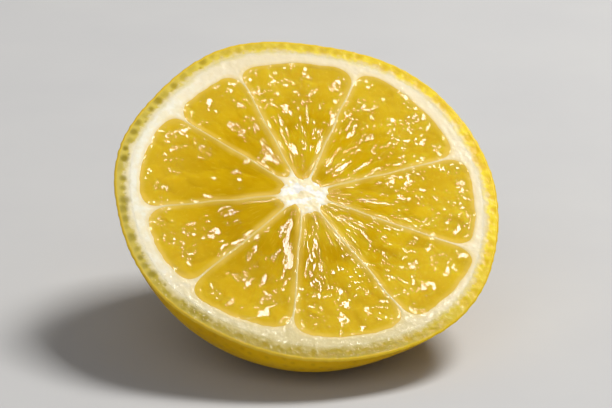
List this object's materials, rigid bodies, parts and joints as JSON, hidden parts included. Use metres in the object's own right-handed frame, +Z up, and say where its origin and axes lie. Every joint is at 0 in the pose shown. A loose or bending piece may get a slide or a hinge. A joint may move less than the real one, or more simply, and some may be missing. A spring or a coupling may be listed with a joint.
{
  "type": "lemon half",
  "caption": "End of a lemon cut straight across, resting tilted on its rind so the round cut face with pulp segments, pith and core shows; garnish or juicing fruit",
  "frame": {"origin": "on the table, under the middle of the object's bounding box", "axes": "+Z up; the cut face is tipped 32 degrees so that it faces up and towards -Y; +X runs across the face, level"},
  "size_m": [0.0564, 0.05, 0.0365],
  "materials": {
    "rind": "waxy yellow citrus rind, pitted by oil glands",
    "pith": "matt cream pith, damp at the cut",
    "pulp": "wet translucent golden juice sacs"
  },
  "bodies": {
    "root": {"lemon_half": "rind"}
  },
  "joints": []
}
